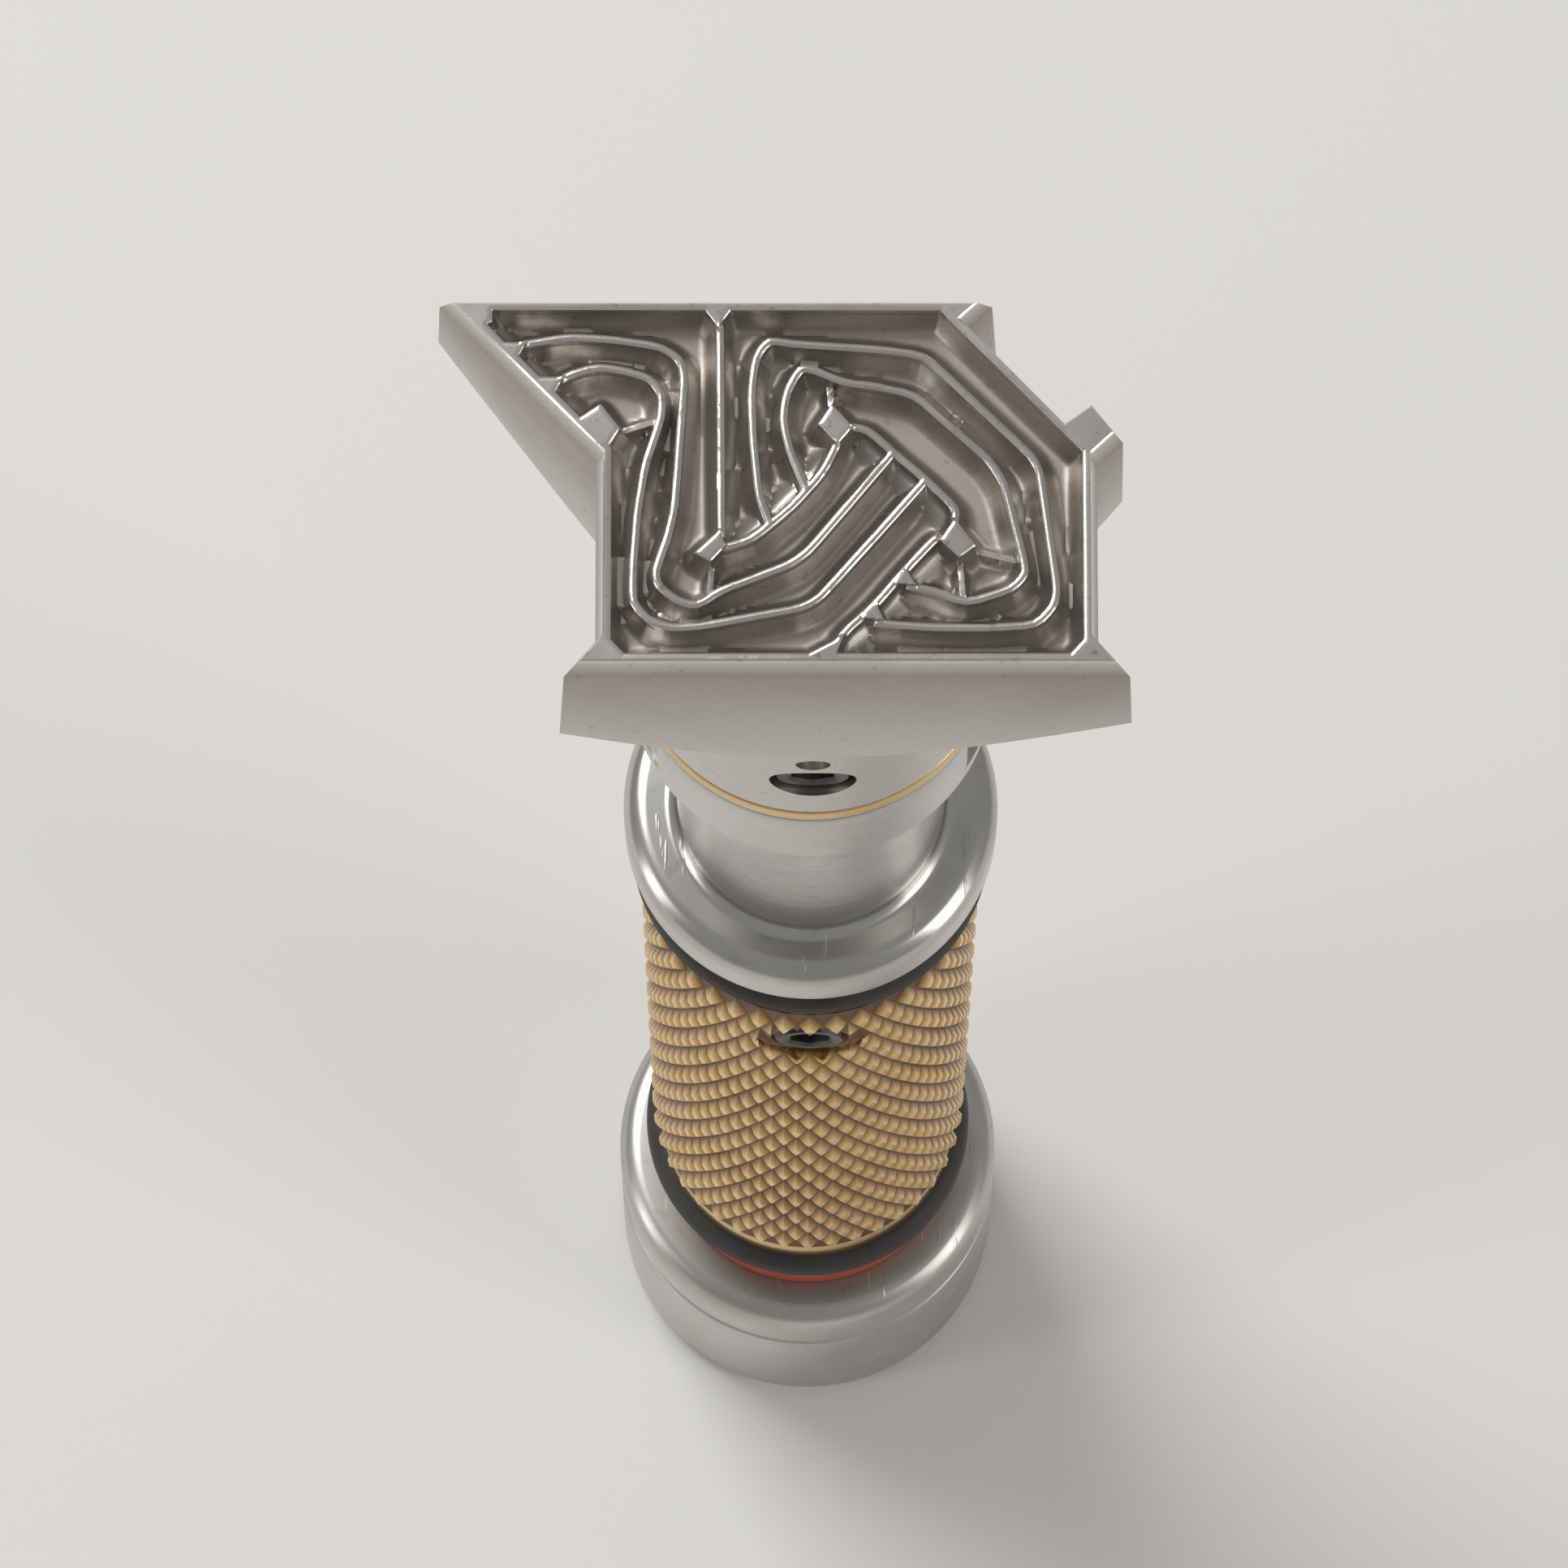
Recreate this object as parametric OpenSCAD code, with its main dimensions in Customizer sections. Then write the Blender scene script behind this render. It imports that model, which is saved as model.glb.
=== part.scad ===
// Leather border stamp with a screw-on interlace head.
// The tool stands on its striking end, with the engraved face up.
// Origin: centre of the striking end. +Z runs along the tool to the face.
// Millimetres. Threads are plain cylinders of their nominal diameter.

/* [Strike cap] */
// Diameter of the strike cap
cap_d = 16; // [12:0.5:22]
// Length of the strike cap
cap_h = 14; // [10:0.5:20]
// Metal left under the tail of the shank, which takes the blow
cap_floor = 4; // [2.5:0.5:7]
// Rounding of the cap's edges
cap_round = 1; // [0.3:0.1:2]
// Diameter of the roll pin that holds the cap
pin_d = 2; // [1.5:0.5:3]
// How far each end of the roll pin lies below the cap's surface
pin_recess = 0.6; // [0.2:0.1:1.5]

/* [Grip] */
// Length of the knurled sleeve
sleeve_len = 52; // [35:1:90]
// Diameter over the knurling
sleeve_d = 13; // [12:0.5:16]
// Length of the smooth band at each end of the sleeve
band_len = 5.5; // [4:0.5:9]
// How much smaller in diameter the smooth bands are
band_step = 0.6; // [0.2:0.1:1]
// Thickness of a grip ring's round section
ring_t = 1.6; // [1:0.1:2]
// How far a grip ring stands out of its groove
ring_proud = 0.6; // [0.2:0.1:0.9]
// Thickness of the fibre washer between the cap and the sleeve
bumper_t = 1.5; // [0.8:0.1:3]
// Radial gap between that washer and the shank
bumper_gap = 0.15; // [0.05:0.05:0.4]
// Distance from the knurling's upper end to the grip's lock screw
grip_screw_in = 4; // [3:0.5:10]

/* [Shank] */
// Diameter of the shank inside the sleeve
core_d = 9; // [8:0.5:10]
// Diameter of the tail inside the strike cap
tail_d = 8; // [6:0.5:8.5]
// Thickness of the collar above the sleeve
collar_t = 3; // [2:0.5:6]
// Diameter of that collar
collar_d = 14; // [13:0.5:18]
// Rounding of the collar's upper edge
collar_round = 1; // [0.3:0.1:1.5]
// Length of the bare neck from the collar to the seat
neck_len = 16.5; // [10:0.5:40]
// Diameter of the neck
neck_d = 10; // [9:0.5:12]
// Gap left above the cap, so that only the tail's end meets it
tail_gap = 0.2; // [0.1:0.1:0.5]
// Radial gap between the shank and the sleeve around it
sleeve_gap = 0.02; // [0.01:0.01:0.1]
// Thickness of the seat that the head is tightened against
seat_t = 5; // [3:0.5:8]
// Diameter of the seat and of the head's boss
seat_d = 13; // [12:0.5:16]
// Distance across the two spanner flats on the seat
flats_w = 11; // [10.5:0.5:12]
// Length of those flats along the tool
flats_len = 3; // [2:0.5:5]
// Chamfer on the seat, the collar and the boss
chamfer = 0.3; // [0.1:0.1:0.6]

/* [Head thread] */
// Nominal diameter of the stud
stud_d = 6; // [5:0.5:7]
// Thread pitch: one turn lifts the head by this much
stud_pitch = 1; // [0.7:0.05:1.25]
// Length of the stud inside the shank
stud_in = 10; // [7:0.5:13]
// Turns of thread inside the head
stud_turns = 8; // [5:1:9]
// Radial gap between the stud and the head's thread
thread_gap = 0.03; // [0.01:0.01:0.1]
// Depth drilled past the end of the stud
drill_past = 1; // [0.5:0.5:2]
// Thickness of the brass washer that sets the pattern square
washer_t = 1; // [0.5:0.1:2]
// Radial gap between the washer and the stud
washer_gap = 0.2; // [0.1:0.05:0.5]

/* [Lock screws] */
// Diameter of both socket set screws
screw_d = 3; // [2.5:0.5:4]
// Across flats of their hexagon sockets
key_w = 1.5; // [1:0.1:2]
// Depth of those sockets
key_depth = 1.2; // [0.8:0.1:2]
// How far each screw lies below the surface
screw_recess = 0.3; // [0.1:0.1:0.6]
// Gap between the head's screw and the stud, and around that screw
screw_gap = 0.02; // [0.01:0.01:0.1]
// Play along the tool between a grip ring and its groove
ring_play = 0.1; // [0.05:0.05:0.3]
// How deep the grip's screw enters the shank
dimple = 0.6; // [0.3:0.1:1]

/* [Head] */
// Length of the round boss
boss_len = 8; // [7:0.5:14]
// Length of the cone from the boss to the block
cone_len = 6.5; // [5:0.5:12]
// Height of the block, from the cone to the face
block_h = 4.5; // [3:0.5:9]
// Outward draft of the block's lower walls
block_draft = 0.2; // [0:0.05:0.6]
// Diameter of the index dot on the front of the boss
dot_d = 1.2; // [0.8:0.1:2]
// Depth of that dot
dot_depth = 0.4; // [0.2:0.1:0.8]
// Distance from the dot down from the top of the boss
dot_down = 1.5; // [1:0.5:3]

/* [Face] */
// Repeat of the border, which is the face's straight lower edge
tile_w = 16; // [14:0.5:20]
// Height of the pattern from the face down to the channel floors
relief = 1.2; // [0.8:0.1:1.6]
// Outward draft over the height of the pattern
edge_draft = 0.25; // [0.1:0.05:0.4]
// Width of the rim inside the tile's outline
rim_w = 0.12; // [0.08:0.02:0.3]
// Width of the ridges between the strands
line_w = 0.26; // [0.2:0.02:0.34]
// How far each side of a corner a ridge starts to bend
bend_reach = 0.4; // [0.1:0.1:0.6]
// How far those ridges lie below the face
line_drop = 0.15; // [0:0.05:0.4]
// Width of the folds where a strand turns a corner
fold_w = 0.2; // [0.14:0.02:0.3]
// How far the folds lie below the face
fold_drop = 0.65; // [0.4:0.05:0.9]

/* [Hidden] */
$fn = 96;
eps = 0.01;

// Heights along the tool
sleeve_z = cap_h + bumper_t;
collar_z = sleeve_z + sleeve_len;
neck_z = collar_z + collar_t;
seat_z = neck_z + neck_len;
washer_z = seat_z + seat_t;
head_z = washer_z + washer_t;
cone_z = head_z + boss_len;
block_z = cone_z + cone_len;
face_z = block_z + block_h;
stud_out = stud_turns * stud_pitch;
stud_len = stud_in + washer_t + stud_out;
pin_z = (cap_floor + cap_h) / 2;
pin_len = cap_d - 2 * pin_recess;
// The grip rings stand over the middle of the smooth bands
ring_r = sleeve_d / 2 - band_step / 2 - ring_t / 2 + ring_proud;
groove_w = ring_t + ring_play;
groove_r = ring_r - ring_t / 2;
grip_screw_z = collar_z - band_len - grip_screw_in;
head_screw_z = head_z + boss_len / 2;

// The pattern is laid out as its print in leather, u to the right and v up,
// for a repeat of 16. The face is the mirror image of that print.
print_scale = tile_w / 16;
// The shank's axis passes through the middle of the print's area
axis = [9.1, 6.1];

// The tile that repeats along the border, with its spur at the upper right
tile = [[0, 0], [16, 0], [16, 7.2], [20.8, 12.2], [4.8, 12.2], [0, 7.2]];

// The face's outer edge: the tile with its pointed corner lobes and hook
edge = [[-0.95, -0.15], [16.95, -0.15], [16.15, 0.75], [16.15, 7.15], [21.2, 12.35],
    [3.6, 12.35], [4.2, 11.8], [0.7, 8.1], [-0.2, 8.75], [-0.95, 7.8], [-0.15, 7.05],
    [-0.15, 0.75]];

spur_tip = edge[4];

// Ridges between strands. Each runs from one plate, edge or ridge to the next.
ridges = [
    // divider between the two loops
    [[12.3, 12.3], [12.25, 11.3], [12.2, 4.2]],
    // large loop, outer
    [[7.1, 1.2], [5, 1.05], [3.2, 1.05], [1.7, 1.15], [1.1, 1.8], [1, 2.4], [1.55, 6.5],
        [1.8, 7], [5.4, 10.55], [6.8, 10.75], [9.8, 10.95], [10.6, 11.1], [11.05, 10.5],
        [11.2, 9.3], [11.15, 7.6], [10.95, 5.6], [10.6, 4.7]],
    // large loop, inner
    [[6, 2.5], [5.2, 2.35], [4, 1.9], [2.5, 2.4], [2.05, 2.9], [2.1, 3.4], [2.75, 6.1],
        [3.25, 6.9], [5.7, 9.15], [6.9, 9.45], [8.1, 9.6], [9.1, 10.05], [9.55, 10.1],
        [10, 9.3], [10.15, 8.3], [9.95, 7.3], [9.35, 5.8]],
    // where the crossing strands go under the large loop
    [[7.9, 8.05], [7.3, 7.95], [6.45, 7.15], [5.35, 6.2], [4.35, 5.2], [4.4, 4.7]],
    // crossing strands, upper edge
    [[8.3, 7.5], [8.8, 6.45], [9.85, 5.25], [11.2, 4.1], [12.2, 3.8]],
    // crossing strands, first to second
    [[6.45, 7.15], [8.05, 5.2], [9.3, 3.7], [9.9, 3.25], [12.2, 2.35], [13, 1.8],
        [13.7, 2], [14.3, 2.5], [14.4, 3], [13.95, 4.3], [13.75, 5.3], [13.45, 9.8],
        [13.6, 10.4], [14.2, 10.85], [15.8, 11.1], [17.3, 11.2], [19, 10.9]],
    // crossing strands, second to third
    [[5.35, 6.2], [6.85, 4.45], [8.9, 2.1], [9.5, 1.75], [12.9, 1.1], [13.9, 1.05],
        [14.6, 1.3], [15.15, 1.9], [15.15, 3], [15, 5.1], [14.75, 6.7], [14.2, 8.4],
        [14.2, 9.2], [14.6, 9.75], [15.4, 10], [16.3, 10.15], [17.1, 9.95], [17.9, 9.5]],
    // crossing strands, lower edge
    [[4.9, 4.2], [5.1, 4.1], [6.1, 3], [7.05, 1.85], [8.2, 0.8], [8.45, -0.1]],
];

// Folds where a strand turns a sharp corner
folds = [
    [[4.25, 3.6], [4.2, 3.2], [4.1, 1.95]],
    [[12.5, 3.4], [12.6, 2.15]],
    [[14.2, 8.45], [15.7, 7.95]],
    [[2.1, 3.45], [3.8, 3.85]],
    [[8.6, 9.8], [8.5, 8.7]],
];

// Plates: openings in the knot, pointed ends between strands, filled corners
plates = [
    [[8.5, 8.8], [8.95, 8.1], [8.3, 7.4], [7.8, 8]],
    [[4.4, 4.8], [4.9, 4.05], [4.25, 3.45], [3.7, 3.85]],
    [[12.25, 4.4], [13.1, 3.6], [12.55, 3.3], [12.05, 3.85]],
    [[16.1, 7.1], [15.6, 7.95], [16.25, 8.8], [17, 8.3]],
    [[-0.95, -0.15], [0.8, -0.15], [0, 0.75]],
    [[15.2, -0.15], [16.95, -0.15], [16, 0.75]],
    [[3.6, 12.35], [5, 12.35], [4.3, 11.65]],
    [[19.9, 12.35], [21.2, 12.35], [20.3, 11.45], [19.9, 11.7]],
    [[18.75, 10.95], [19.7, 11], [19.1, 10.3]],
    [[17.5, 9.75], [18.5, 9.75], [17.85, 9.05]],
    [[11.7, 12.35], [12.95, 12.35], [12.3, 11.5]],
    [[8.1, 0.75], [8.45, -0.1], [9.7, -0.1]],
    [[6.8, 1.3], [7.4, 1.35], [7, 1.8]],
    [[5.7, 2.5], [6.3, 2.55], [6, 3]],
];

function unit(v) = v / norm(v);
function left(v) = [-v[1], v[0]];
function around(pts, i) = pts[(i + len(pts)) % len(pts)];

// The mitre of two edge normals, no longer than about twice the shift
function mitre(a, b) = let (m = unit(a + b)) m / max(m * a, 0.45);

// A counter-clockwise outline moved outwards by d
function grown(pts, d) = [for (i = [0:len(pts) - 1])
    pts[i] - d * mitre(left(unit(pts[i] - around(pts, i - 1))),
        left(unit(around(pts, i + 1) - pts[i])))];

// The mitre at point i of an open path
function path_mitre(pts, i) = let (j = max(i, 1), k = min(i, len(pts) - 2))
    mitre(left(unit(pts[j] - pts[j - 1])), left(unit(pts[k + 1] - pts[k])));

// A step from a towards b, as far as a bend reaches
function bend(a, b) = unit(b - a) * min(bend_reach, norm(b - a) / 3);

// An open path with its corners made into bends
function bent(pts) = concat([pts[0]],
    [for (i = [1:len(pts) - 2])
        let (p = pts[i] + bend(pts[i], pts[i - 1]), q = pts[i] + bend(pts[i], pts[i + 1]))
        each [p, (p + 2 * pts[i] + q) / 4, q]],
    [pts[len(pts) - 1]]);

// A band of width w along an open path
function band(pts, w) = concat(
    [for (i = [0:len(pts) - 1]) pts[i] + w / 2 * path_mitre(pts, i)],
    [for (i = [len(pts) - 1:-1:0]) pts[i] - w / 2 * path_mitre(pts, i)]);

// From the print's frame to the face, mirrored
function on_face(pts) = [for (p = pts)
    print_scale * [axis[0] - p[0], p[1] - axis[1]]];

function at_height(pts, z) = [for (p = pts) [p[0], p[1], z]];

// A solid through outlines of equal point counts, listed from the bottom up
module loft(rings) {
    n = len(rings[0]);
    top = len(rings) - 1;
    points = [for (ring = rings) each ring];
    walls = [for (r = [0:top - 1], i = [0:n - 1])
        let (j = (i + 1) % n) [r * n + i, r * n + j, (r + 1) * n + j, (r + 1) * n + i]];
    floor_face = [for (i = [0:n - 1]) i];
    roof_face = [for (i = [n - 1:-1:0]) top * n + i];
    polyhedron(points, concat([floor_face], walls, [roof_face]));
}

module rod(d, h, z = 0) {
    translate([0, 0, z]) cylinder(d = d, h = h);
}

// A cylinder along -Y, whose outer end is r_out from the tool's axis
module radial_rod(d, r_in, r_out, z) {
    translate([0, -r_in, z]) rotate([90, 0, 0]) cylinder(d = d, h = r_out - r_in);
}

module set_screw(r_in, r_out, z) {
    difference() {
        radial_rod(screw_d, r_in, r_out, z);
        translate([0, -(r_out - key_depth), z]) rotate([90, 0, 0])
            cylinder(d = key_w / cos(30), h = key_depth + eps, $fn = 6);
    }
}

module strike_cap() {
    color("silver") difference() {
        rotate_extrude() polygon(concat([[0, 0]],
            [for (a = [-90:15:0]) [cap_d / 2 - cap_round + cap_round * cos(a),
                cap_round + cap_round * sin(a)]],
            [[cap_d / 2, cap_h - cap_round], [cap_d / 2 - cap_round, cap_h], [0, cap_h]]));
        rod(tail_d, cap_h, cap_floor);
        translate([-cap_d / 2, 0, pin_z]) rotate([0, 90, 0]) cylinder(d = pin_d, h = cap_d);
    }
}

module cap_pin() {
    color("dimgray") translate([-pin_len / 2, 0, pin_z]) rotate([0, 90, 0])
        difference() {
            cylinder(d = pin_d, h = pin_len);
            translate([0, 0, -eps]) cylinder(d = pin_d / 2, h = pin_len + 2 * eps);
        }
}

module cap_bumper() {
    color("firebrick") difference() {
        rod(sleeve_d - band_step, bumper_t, cap_h);
        rod(core_d + 2 * bumper_gap, bumper_t + 2 * eps, cap_h - eps);
    }
}

module shank() {
    tail_top = cap_h + tail_gap;
    color("gainsboro") difference() {
        union() {
            rod(tail_d, tail_top - cap_floor, cap_floor);
            rod(core_d, collar_z - tail_top, tail_top);
            rotate_extrude() polygon([[0, collar_z], [collar_d / 2 - chamfer, collar_z],
                [collar_d / 2, collar_z + chamfer], [collar_d / 2, neck_z - collar_round],
                [collar_d / 2 - collar_round, neck_z], [neck_d / 2, neck_z],
                [neck_d / 2, seat_z - (seat_d - neck_d) / 2], [seat_d / 2, seat_z],
                [seat_d / 2, washer_z - chamfer], [seat_d / 2 - chamfer, washer_z],
                [0, washer_z]]);
        }
        rod(stud_d, stud_in + eps, washer_z - stud_in);
        translate([-cap_d / 2, 0, pin_z]) rotate([0, 90, 0]) cylinder(d = pin_d, h = cap_d);
        radial_rod(screw_d, core_d / 2 - dimple, core_d, grip_screw_z);
        for (side = [-1, 1]) translate([side * (flats_w + seat_d) / 2, 0, seat_z + seat_t / 2])
            cube([seat_d, seat_d, flats_len], center = true);
    }
}

module grip_sleeve() {
    band_d = sleeve_d - band_step;
    color("darkslategray") difference() {
        union() {
            rod(band_d, sleeve_len, sleeve_z);
            rod(sleeve_d, sleeve_len - 2 * band_len, sleeve_z + band_len);
        }
        rod(core_d + 2 * sleeve_gap, sleeve_len + 2 * eps, sleeve_z - eps);
        for (z = ring_heights()) difference() {
            rod(2 * sleeve_d, groove_w, z - groove_w / 2);
            rod(2 * groove_r, groove_w, z - groove_w / 2);
        }
        radial_rod(screw_d, core_d / 2 - dimple, sleeve_d, grip_screw_z);
    }
}

function ring_heights() = [sleeve_z + band_len / 2, sleeve_z + sleeve_len - band_len / 2];

module grip_rings() {
    color([0.1, 0.1, 0.1]) for (z = ring_heights())
        translate([0, 0, z]) rotate_extrude() translate([ring_r, 0]) circle(d = ring_t, $fn = 48);
}

module grip_lock_screw() {
    color("dimgray")
        set_screw(core_d / 2 - dimple, sleeve_d / 2 - screw_recess, grip_screw_z);
}

module head_stud() {
    color("darkgray") rod(stud_d, stud_len, washer_z - stud_in);
}

module timing_washer() {
    color("gold") difference() {
        rod(seat_d, washer_t, washer_z);
        rod(stud_d + 2 * washer_gap, washer_t + 2 * eps, washer_z - eps);
    }
}

// Turned from bar: the boss, the cone and a rim wide enough for the spur
module head_blank() {
    reach = norm(on_face([spur_tip])[0]) + 2;
    rotate_extrude() polygon([[0, head_z], [seat_d / 2 - chamfer, head_z],
        [seat_d / 2, head_z + chamfer], [seat_d / 2, cone_z], [reach, block_z],
        [reach, face_z], [0, face_z]]);
}

// The block milled around the pattern, with drafted walls. They run on past the
// face, where the blank ends.
module head_block() {
    past = 0.2;
    loft([at_height(on_face(grown(edge, edge_draft + block_draft)), cone_z),
        at_height(on_face(grown(edge, edge_draft)), face_z - relief),
        at_height(on_face(grown(edge, -past * edge_draft)), face_z + past * relief)]);
}

module raised(outlines, top) {
    for (pts = outlines)
        translate([0, 0, face_z - relief - eps]) linear_extrude(top - face_z + relief + eps)
            polygon(on_face(pts));
}

// What is cut away between the ridges
module channels() {
    difference() {
        translate([0, 0, face_z - relief]) linear_extrude(relief + 1)
            polygon(on_face(grown(tile, -rim_w)));
        raised([for (path = ridges) band(bent(path), line_w)], face_z - line_drop);
        raised([for (path = folds) band(path, fold_w)], face_z - fold_drop);
        raised(plates, face_z + 2);
    }
}

module stamp_head() {
    color("silver") difference() {
        union() {
            intersection() {
                head_blank();
                head_block();
            }
            intersection() {
                head_blank();
                rod(seat_d, cone_z + 1 - head_z, head_z);
            }
        }
        channels();
        rod(stud_d + 2 * thread_gap, stud_out + drill_past + eps, head_z - eps);
        radial_rod(screw_d + 2 * screw_gap, 0, seat_d, head_screw_z);
        radial_rod(dot_d, seat_d / 2 - dot_depth, seat_d, cone_z - dot_down);
    }
}

module head_lock_screw() {
    color("dimgray")
        set_screw(stud_d / 2 + screw_gap, seat_d / 2 - screw_recess, head_screw_z);
}

strike_cap();
cap_pin();
cap_bumper();
shank();
grip_sleeve();
grip_rings();
grip_lock_screw();
head_stud();
timing_washer();
stamp_head();
head_lock_screw();
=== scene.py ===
# A leather border stamp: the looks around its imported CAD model.
# The tool stands on its striking end with the engraved face up. +Z runs along
# the tool. Lengths in the geometry code are in millimetres; pieces are made in metres.
import math

import bmesh
import bpy
import numpy as np
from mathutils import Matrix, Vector
from mathutils.bvhtree import BVHTree
from mathutils.geometry import delaunay_2d_cdt


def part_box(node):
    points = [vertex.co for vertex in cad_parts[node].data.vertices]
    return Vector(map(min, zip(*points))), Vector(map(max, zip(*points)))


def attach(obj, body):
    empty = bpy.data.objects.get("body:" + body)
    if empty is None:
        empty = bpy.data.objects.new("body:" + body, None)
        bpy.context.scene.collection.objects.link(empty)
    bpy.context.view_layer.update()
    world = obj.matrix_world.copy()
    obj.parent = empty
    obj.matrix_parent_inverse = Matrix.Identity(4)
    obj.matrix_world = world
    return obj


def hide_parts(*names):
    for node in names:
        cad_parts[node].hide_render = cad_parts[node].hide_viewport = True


MM = 0.001
TURN = 2 * math.pi

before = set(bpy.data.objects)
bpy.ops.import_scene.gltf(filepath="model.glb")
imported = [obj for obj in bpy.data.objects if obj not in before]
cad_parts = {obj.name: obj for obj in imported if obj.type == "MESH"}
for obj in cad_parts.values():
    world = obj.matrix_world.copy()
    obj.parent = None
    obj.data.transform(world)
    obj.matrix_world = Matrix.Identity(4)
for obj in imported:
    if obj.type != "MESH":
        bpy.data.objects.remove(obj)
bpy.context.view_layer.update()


# ---------------------------------------------------------------- measures

def span(node):
    """Lowest and highest corner of a CAD node, in millimetres."""
    low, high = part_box(node)
    return low / MM, high / MM


def radius_of(node):
    low, high = span(node)
    return (high.x - low.x) / 2


CAP_Z = span("strike_cap")[1].z
BUMPER_Z = span("cap_bumper")[1].z
SLEEVE_Z = span("grip_sleeve")[1].z
SEAT_Z = span("timing_washer")[0].z
HEAD_Z = span("timing_washer")[1].z
FACE_Z = span("stamp_head")[1].z

CAP_R = radius_of("strike_cap")
SLEEVE_R = radius_of("grip_sleeve")
BAND_R = radius_of("cap_bumper")
SEAT_R = radius_of("timing_washer")
STUD_R = radius_of("head_stud")
COLLAR_R = radius_of("shank")

# Sizes of the CAD model that its boxes don't show
TAIL_R = 4
CORE_R = 4.5
NECK_R = 5.0
RING_THICK = 1.6
HEX_HALF = 0.75
HEX_DEPTH = 1.2


# ---------------------------------------------------------------- mesh helpers

def make_object(name, vertices, faces, sharp_angle=35):
    """A smooth-shaded object from millimetre vertices, with edges sharp above an angle."""
    mesh = bpy.data.meshes.new(name)
    mesh.from_pydata([tuple(c * MM for c in v) for v in vertices], [], faces)
    finish_mesh(mesh, sharp_angle)
    piece = bpy.data.objects.new(name, mesh)
    bpy.context.scene.collection.objects.link(piece)
    return piece


def finish_mesh(mesh, sharp_angle):
    mesh.validate()
    work = bmesh.new()
    work.from_mesh(mesh)
    bmesh.ops.recalc_face_normals(work, faces=work.faces)
    work.to_mesh(mesh)
    work.free()
    mesh.shade_smooth()
    mesh.set_sharp_from_angle(angle=math.radians(sharp_angle))


def set_up(piece, node, body, material):
    """What every piece needs: the CAD node it stands for, its body and material."""
    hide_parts(node)
    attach(piece, body)
    piece.data.materials.append(material)
    return piece


def filleted(corners, steps=5):
    """A profile of (r, z, fillet) corners with its fillets worked out as arcs."""
    profile = []
    for i, (r, z, fillet) in enumerate(corners):
        here = Vector((r, z))
        if fillet == 0 or i in (0, len(corners) - 1):
            profile.append(here)
            continue
        to_last = (Vector(corners[i - 1][:2]) - here).normalized()
        to_next = (Vector(corners[i + 1][:2]) - here).normalized()
        half = to_last.angle(to_next) / 2
        reach = fillet / math.tan(half)
        middle = here + (to_last + to_next).normalized() * fillet / math.sin(half)
        start = here + to_last * reach - middle
        end = here + to_next * reach - middle
        sweep = start.angle_signed(end)
        for k in range(steps + 1):
            a = -sweep * k / steps
            turned = Vector((start.x * math.cos(a) - start.y * math.sin(a),
                             start.x * math.sin(a) + start.y * math.cos(a)))
            profile.append(middle + turned)
    return profile


def lathe(name, profile, segments=128, closed=False, shape=None):
    """A turned piece. shape(r, angle, z) may cut into the radius, for flats and dents."""
    vertices, faces, rows = [], [], []
    for r, z in profile:
        if r < 1e-6:
            rows.append([len(vertices)] * segments)
            vertices.append((0, 0, z))
            continue
        rows.append([len(vertices) + k for k in range(segments)])
        for k in range(segments):
            a = TURN * k / segments
            cut_r, cut_z = shape(r, a, z) if shape else (r, z)
            vertices.append((cut_r * math.cos(a), cut_r * math.sin(a), cut_z))
    pairs = list(zip(rows, rows[1:]))
    if closed:
        pairs.append((rows[-1], rows[0]))
    for low, high in pairs:
        for k in range(segments):
            j = (k + 1) % segments
            quad = [low[k], low[j], high[j], high[k]]
            face = [v for n, v in enumerate(quad) if v not in quad[:n]]
            if len(face) > 2:
                faces.append(face)
    return make_object(name, vertices, faces)


def along_minus_y(piece, z):
    """Turns a piece made along +Z so that it points along -Y, at height z."""
    for v in piece.data.vertices:
        x, y, up = v.co
        v.co = (x, -up, y + z * MM)
    return piece


def cut_hole(piece, radius, z, inner, outer):
    """A round hole along -Y through one side of a piece."""
    cutter = along_minus_y(lathe("cutter", [(0, inner), (radius, inner), (radius, outer),
                                            (0, outer)], 64), z)
    tool = piece.modifiers.new("hole", "BOOLEAN")
    tool.operation = "DIFFERENCE"
    tool.solver = "EXACT"
    tool.object = cutter
    bpy.context.view_layer.update()
    graph = bpy.context.evaluated_depsgraph_get()
    mesh = bpy.data.meshes.new_from_object(piece.evaluated_get(graph))
    piece.modifiers.clear()
    piece.data = mesh
    bpy.data.objects.remove(cutter)
    return piece


# ---------------------------------------------------------------- materials

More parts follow.
